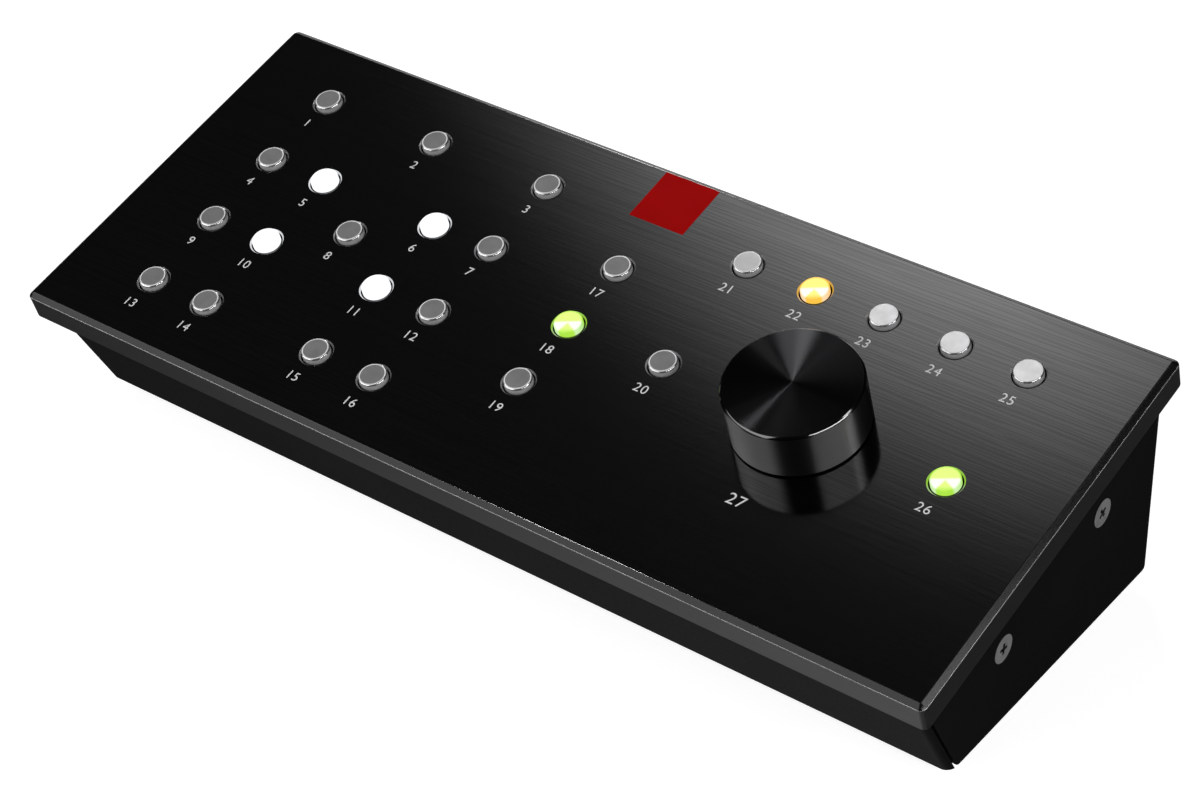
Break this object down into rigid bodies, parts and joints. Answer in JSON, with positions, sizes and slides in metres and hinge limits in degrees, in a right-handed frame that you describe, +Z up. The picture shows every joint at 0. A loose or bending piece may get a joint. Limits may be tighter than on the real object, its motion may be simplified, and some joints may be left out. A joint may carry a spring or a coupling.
{
  "type": "studio monitor controller",
  "caption": "Desk-top studio monitor controller: tilted black brushed plate on a wedge-shaped case, round lit push buttons and a large endless volume knob.",
  "frame": {"origin": "on the table, below the middle of the overall box", "axes": "+X to the user's right along the long side, +Y to the rear where the sockets are, +Z up; the plate's own normal leans 14.7 degrees towards the user"},
  "size_m": [0.2196, 0.0874, 0.0571],
  "materials": {
    "plate": "black anodised, finely brushed from left to right",
    "case": "black satin powder coat",
    "key_grey": "silver-grey cap, unlit",
    "key_pale": "pale silver-grey cap, unlit",
    "key_white": "cap lit white",
    "key_green": "cap lit green",
    "key_amber": "cap lit amber",
    "knob": "black anodised, spun top, bare diamond-cut rim",
    "steel": "zinc plated",
    "dark_screw": "black zinc plated",
    "rubber": "matt",
    "switch": "moulded housing",
    "lamp": "clear lens over a phosphor",
    "board": "green glass-fibre laminate with a solder mask",
    "chip": "moulded package",
    "socket_black": "moulded socket",
    "socket_white": "moulded insert",
    "plated": "nickel plated sheet",
    "contact": "gold plated",
    "ribbon": "grey flat cable"
  },
  "bodies": {
    "case": {"board_header": "chip", "board_screws": "steel", "board_standoffs": "steel", "bracket_left": "steel", "bracket_right": "steel", "chassis": "case", "controller_chip": "chip", "encoder_body": "steel", "encoder_nut": "steel", "encoder_washer": "steel", "io_board": "board", "io_header": "chip", "io_screws": "steel", "io_standoffs": "steel", "key_leds": "lamp", "key_switches": "switch", "main_board": "board", "network_contacts": "contact", "network_socket": "socket_black", "ribbon_cable": "ribbon", "rubber_feet": "rubber", "side_panel_left": "case", "side_panel_right": "case", "side_screws": "dark_screw", "top_plate": "plate", "usb_contacts": "contact", "usb_insert": "socket_white", "usb_shell": "plated"},
    "knob": {"volume_knob": "knob", "encoder_shaft": "steel", "knob_set_screw": "steel"},
    "button_01_key": {"button_01": "key_grey"},
    "button_02_key": {"button_02": "key_grey"},
    "button_03_key": {"button_03": "key_grey"},
    "button_04_key": {"button_04": "key_grey"},
    "button_05_key": {"button_05": "key_white"},
    "button_06_key": {"button_06": "key_white"},
    "button_07_key": {"button_07": "key_grey"},
    "button_08_key": {"button_08": "key_grey"},
    "button_09_key": {"button_09": "key_grey"},
    "button_10_key": {"button_10": "key_white"},
    "button_11_key": {"button_11": "key_white"},
    "button_12_key": {"button_12": "key_grey"},
    "button_13_key": {"button_13": "key_grey"},
    "button_14_key": {"button_14": "key_grey"},
    "button_15_key": {"button_15": "key_grey"},
    "button_16_key": {"button_16": "key_grey"},
    "button_17_key": {"button_17": "key_grey"},
    "button_18_key": {"button_18": "key_green"},
    "button_19_key": {"button_19": "key_grey"},
    "button_20_key": {"button_20": "key_grey"},
    "button_21_key": {"button_21": "key_pale"},
    "button_22_key": {"button_22": "key_amber"},
    "button_23_key": {"button_23": "key_pale"},
    "button_24_key": {"button_24": "key_pale"},
    "button_25_key": {"button_25": "key_pale"},
    "button_26_key": {"button_26": "key_green"}
  },
  "joints": [
    {"name": "button_01_press", "type": "slide", "parent": "case", "child": "button_01_key", "axis": [0, 0.2538, -0.9673], "range_m": [0, 0.0005], "stiffness_N_per_m": 400, "springref_m": -0.0015},
    {"name": "button_02_press", "type": "slide", "parent": "case", "child": "button_02_key", "axis": [0, 0.2538, -0.9673], "range_m": [0, 0.0005], "stiffness_N_per_m": 400, "springref_m": -0.0015},
    {"name": "button_03_press", "type": "slide", "parent": "case", "child": "button_03_key", "axis": [0, 0.2538, -0.9673], "range_m": [0, 0.0005], "stiffness_N_per_m": 400, "springref_m": -0.0015},
    {"name": "button_04_press", "type": "slide", "parent": "case", "child": "button_04_key", "axis": [0, 0.2538, -0.9673], "range_m": [0, 0.0005], "stiffness_N_per_m": 400, "springref_m": -0.0015},
    {"name": "button_05_press", "type": "slide", "parent": "case", "child": "button_05_key", "axis": [0, 0.2538, -0.9673], "range_m": [0, 0.0005], "stiffness_N_per_m": 400, "springref_m": -0.0015},
    {"name": "button_06_press", "type": "slide", "parent": "case", "child": "button_06_key", "axis": [0, 0.2538, -0.9673], "range_m": [0, 0.0005], "stiffness_N_per_m": 400, "springref_m": -0.0015},
    {"name": "button_07_press", "type": "slide", "parent": "case", "child": "button_07_key", "axis": [0, 0.2538, -0.9673], "range_m": [0, 0.0005], "stiffness_N_per_m": 400, "springref_m": -0.0015},
    {"name": "button_08_press", "type": "slide", "parent": "case", "child": "button_08_key", "axis": [0, 0.2538, -0.9673], "range_m": [0, 0.0005], "stiffness_N_per_m": 400, "springref_m": -0.0015},
    {"name": "button_09_press", "type": "slide", "parent": "case", "child": "button_09_key", "axis": [0, 0.2538, -0.9673], "range_m": [0, 0.0005], "stiffness_N_per_m": 400, "springref_m": -0.0015},
    {"name": "button_10_press", "type": "slide", "parent": "case", "child": "button_10_key", "axis": [0, 0.2538, -0.9673], "range_m": [0, 0.0005], "stiffness_N_per_m": 400, "springref_m": -0.0015},
    {"name": "button_11_press", "type": "slide", "parent": "case", "child": "button_11_key", "axis": [0, 0.2538, -0.9673], "range_m": [0, 0.0005], "stiffness_N_per_m": 400, "springref_m": -0.0015},
    {"name": "button_12_press", "type": "slide", "parent": "case", "child": "button_12_key", "axis": [0, 0.2538, -0.9673], "range_m": [0, 0.0005], "stiffness_N_per_m": 400, "springref_m": -0.0015},
    {"name": "button_13_press", "type": "slide", "parent": "case", "child": "button_13_key", "axis": [0, 0.2538, -0.9673], "range_m": [0, 0.0005], "stiffness_N_per_m": 400, "springref_m": -0.0015},
    {"name": "button_14_press", "type": "slide", "parent": "case", "child": "button_14_key", "axis": [0, 0.2538, -0.9673], "range_m": [0, 0.0005], "stiffness_N_per_m": 400, "springref_m": -0.0015},
    {"name": "button_15_press", "type": "slide", "parent": "case", "child": "button_15_key", "axis": [0, 0.2538, -0.9673], "range_m": [0, 0.0005], "stiffness_N_per_m": 400, "springref_m": -0.0015},
    {"name": "button_16_press", "type": "slide", "parent": "case", "child": "button_16_key", "axis": [0, 0.2538, -0.9673], "range_m": [0, 0.0005], "stiffness_N_per_m": 400, "springref_m": -0.0015},
    {"name": "button_17_press", "type": "slide", "parent": "case", "child": "button_17_key", "axis": [0, 0.2538, -0.9673], "range_m": [0, 0.0005], "stiffness_N_per_m": 400, "springref_m": -0.0015},
    {"name": "button_18_press", "type": "slide", "parent": "case", "child": "button_18_key", "axis": [0, 0.2538, -0.9673], "range_m": [0, 0.0005], "stiffness_N_per_m": 400, "springref_m": -0.0015},
    {"name": "button_19_press", "type": "slide", "parent": "case", "child": "button_19_key", "axis": [0, 0.2538, -0.9673], "range_m": [0, 0.0005], "stiffness_N_per_m": 400, "springref_m": -0.0015},
    {"name": "button_20_press", "type": "slide", "parent": "case", "child": "button_20_key", "axis": [0, 0.2538, -0.9673], "range_m": [0, 0.0005], "stiffness_N_per_m": 400, "springref_m": -0.0015},
    {"name": "button_21_press", "type": "slide", "parent": "case", "child": "button_21_key", "axis": [0, 0.2538, -0.9673], "range_m": [0, 0.0005], "stiffness_N_per_m": 400, "springref_m": -0.0015},
    {"name": "button_22_press", "type": "slide", "parent": "case", "child": "button_22_key", "axis": [0, 0.2538, -0.9673], "range_m": [0, 0.0005], "stiffness_N_per_m": 400, "springref_m": -0.0015},
    {"name": "button_23_press", "type": "slide", "parent": "case", "child": "button_23_key", "axis": [0, 0.2538, -0.9673], "range_m": [0, 0.0005], "stiffness_N_per_m": 400, "springref_m": -0.0015},
    {"name": "button_24_press", "type": "slide", "parent": "case", "child": "button_24_key", "axis": [0, 0.2538, -0.9673], "range_m": [0, 0.0005], "stiffness_N_per_m": 400, "springref_m": -0.0015},
    {"name": "button_25_press", "type": "slide", "parent": "case", "child": "button_25_key", "axis": [0, 0.2538, -0.9673], "range_m": [0, 0.0005], "stiffness_N_per_m": 400, "springref_m": -0.0015},
    {"name": "button_26_press", "type": "slide", "parent": "case", "child": "button_26_key", "axis": [0, 0.2538, -0.9673], "range_m": [0, 0.0005], "stiffness_N_per_m": 400, "springref_m": -0.0015},
    {"name": "volume_turn", "type": "hinge", "parent": "case", "child": "knob", "pos_m": [0.055, -0.00093, 0.04315], "axis": [0, -0.2538, 0.9673], "continuous": true}
  ]
}
